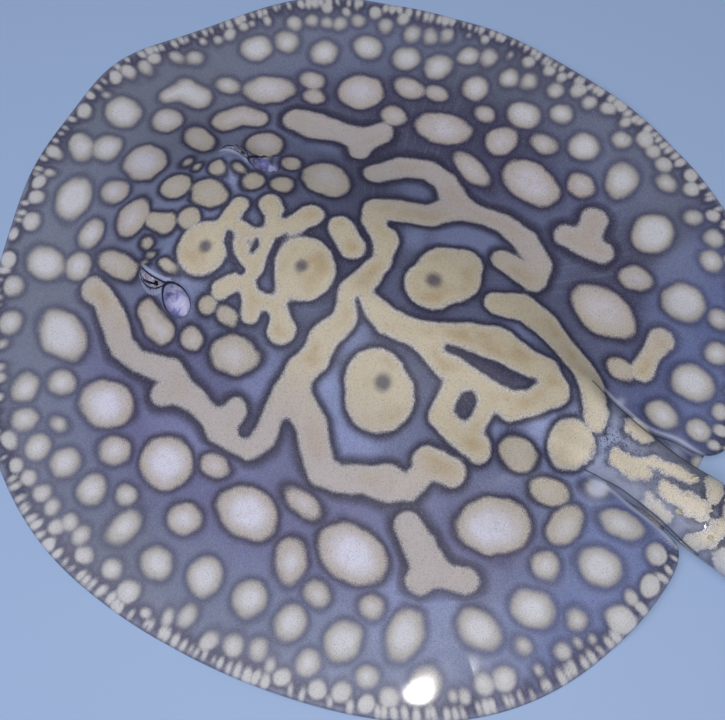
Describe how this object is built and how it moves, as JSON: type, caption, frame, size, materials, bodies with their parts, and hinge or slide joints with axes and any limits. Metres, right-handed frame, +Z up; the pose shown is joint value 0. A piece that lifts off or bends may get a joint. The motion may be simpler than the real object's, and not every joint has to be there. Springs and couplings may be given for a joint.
{
  "type": "freshwater stingray",
  "caption": "Still, life-size freshwater stingray lying flat on its belly: a rounded disc with a domed head and back, and a thorny tapering tail with a sting.",
  "frame": {"origin": "on the belly flat, at the middle of the disc", "axes": "+Z up, the snout towards -Y, the tail towards +Y, +X to the animal's left"},
  "size_m": [0.4003, 0.7475, 0.0456],
  "materials": {
    "body_skin": "wet gloss, grey-blue with a pale net and spots",
    "fin_skin": "wet gloss, grey-blue with pale spots",
    "pale_skin": "smooth, damp",
    "eye": "wet gloss",
    "sting": "smooth, dry horn"
  },
  "bodies": {
    "root": {"snout": "body_skin", "head": "body_skin", "back": "body_skin", "hips": "body_skin", "left_pectoral_front": "fin_skin", "right_pectoral_front": "fin_skin", "left_pectoral_rear": "fin_skin", "right_pectoral_rear": "fin_skin", "left_pelvic_fin": "fin_skin", "right_pelvic_fin": "fin_skin", "left_eye": "eye", "right_eye": "eye", "lower_jaw": "pale_skin", "nasal_flap": "pale_skin", "tail_base": "body_skin", "tail_middle": "body_skin", "tail_rear": "body_skin", "tail_tip": "body_skin", "tail_sting": "sting", "tail_upper_fold": "fin_skin", "tail_lower_fold": "fin_skin"}
  },
  "joints": []
}
